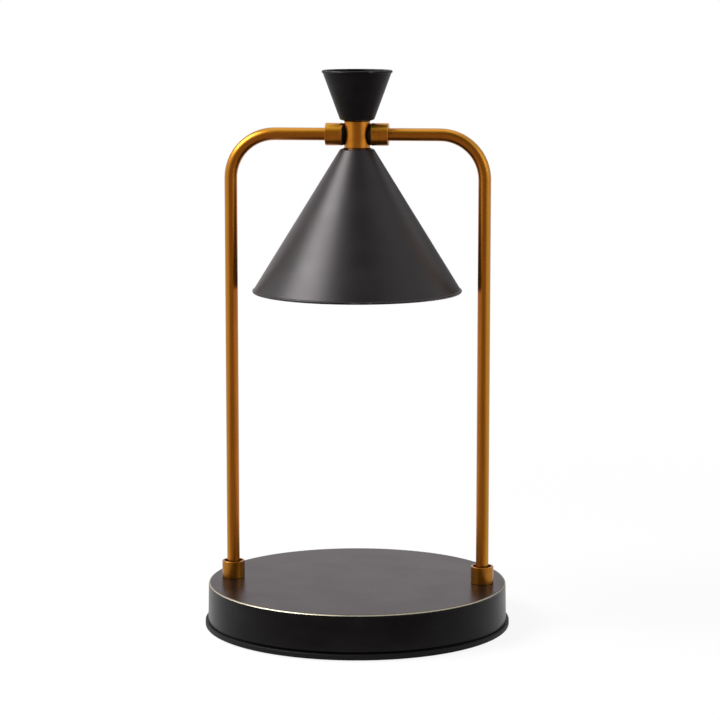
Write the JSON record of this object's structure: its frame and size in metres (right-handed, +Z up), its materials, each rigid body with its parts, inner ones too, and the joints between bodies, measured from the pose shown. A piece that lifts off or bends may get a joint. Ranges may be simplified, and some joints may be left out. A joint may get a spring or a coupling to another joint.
{
  "type": "candle warmer lamp",
  "caption": "Candle warmer lamp: weighted round base, bent-tube arch and a tilting conical shade that holds a reflector lamp over a jar candle.",
  "frame": {"origin": "middle of the base on the surface that it stands on", "axes": "+Z up, +X along the crossbar to the viewer's right, -Y to the front"},
  "size_m": [0.17, 0.17, 0.3091],
  "materials": {
    "painted_black": "satin black paint",
    "satin_brass": "brushed antique brass",
    "black_plastic": "moulded, matt",
    "black_fibre": "matt",
    "rubber": "matt",
    "cast_iron": "as cast",
    "zinc_steel": "zinc plated",
    "terminal_plastic": "moulded",
    "terminal_brass": "machined",
    "lead_sleeve": "smooth",
    "ceramic": "unglazed",
    "lamp_pin_metal": "nickel plated",
    "reflector_glass": "dichroic coated",
    "lens_glass": "clear",
    "quartz": "clear"
  },
  "bodies": {
    "stand": {"bottom_cover": "black_plastic", "foot_pads": "rubber", "base_shell": "painted_black", "ballast_disc": "cast_iron", "cover_screws": "zinc_steel", "cord_inlet_bush": "black_plastic", "terminal_block": "terminal_plastic", "terminal_clamps": "terminal_brass", "terminal_screws": "zinc_steel", "arm_lead": "lead_sleeve", "grub_screws": "zinc_steel", "pivot_axle": "zinc_steel", "left_arm_tube": "satin_brass", "left_foot_collar": "satin_brass", "left_foot_washer": "zinc_steel", "left_foot_nut": "zinc_steel", "left_pivot_collar": "satin_brass", "left_friction_washer": "black_fibre", "right_arm_tube": "satin_brass", "right_foot_collar": "satin_brass", "right_foot_washer": "zinc_steel", "right_foot_nut": "zinc_steel", "right_pivot_collar": "satin_brass", "right_friction_washer": "black_fibre"},
    "head": {"hub_barrel": "satin_brass", "shade": "painted_black", "finial_cone": "painted_black", "stop_stud": "zinc_steel", "finial_washer": "zinc_steel", "finial_nut": "zinc_steel", "shade_nipple": "zinc_steel", "shade_lock_washer": "zinc_steel", "nipple_nuts": "zinc_steel", "holder_strap": "zinc_steel", "holder_screws": "zinc_steel", "holder_cap": "ceramic", "lamp_holder": "ceramic", "holder_contacts": "terminal_brass", "head_lead": "lead_sleeve"},
    "bulb": {"lamp_base": "ceramic", "lamp_pins": "lamp_pin_metal", "lamp_reflector": "reflector_glass", "lamp_lens": "lens_glass", "lamp_capsule": "quartz"}
  },
  "joints": [
    {"name": "shade_tilt", "type": "hinge", "parent": "stand", "child": "head", "pos_m": [0, 0, 0.2742], "axis": [1, 0, 0], "range_deg": [-75, 75]},
    {"name": "bulb_twist", "type": "hinge", "parent": "head", "child": "bulb", "pos_m": [0, 0, 0.2367], "axis": [0, 0, 1], "range_deg": [-25, 0]}
  ]
}
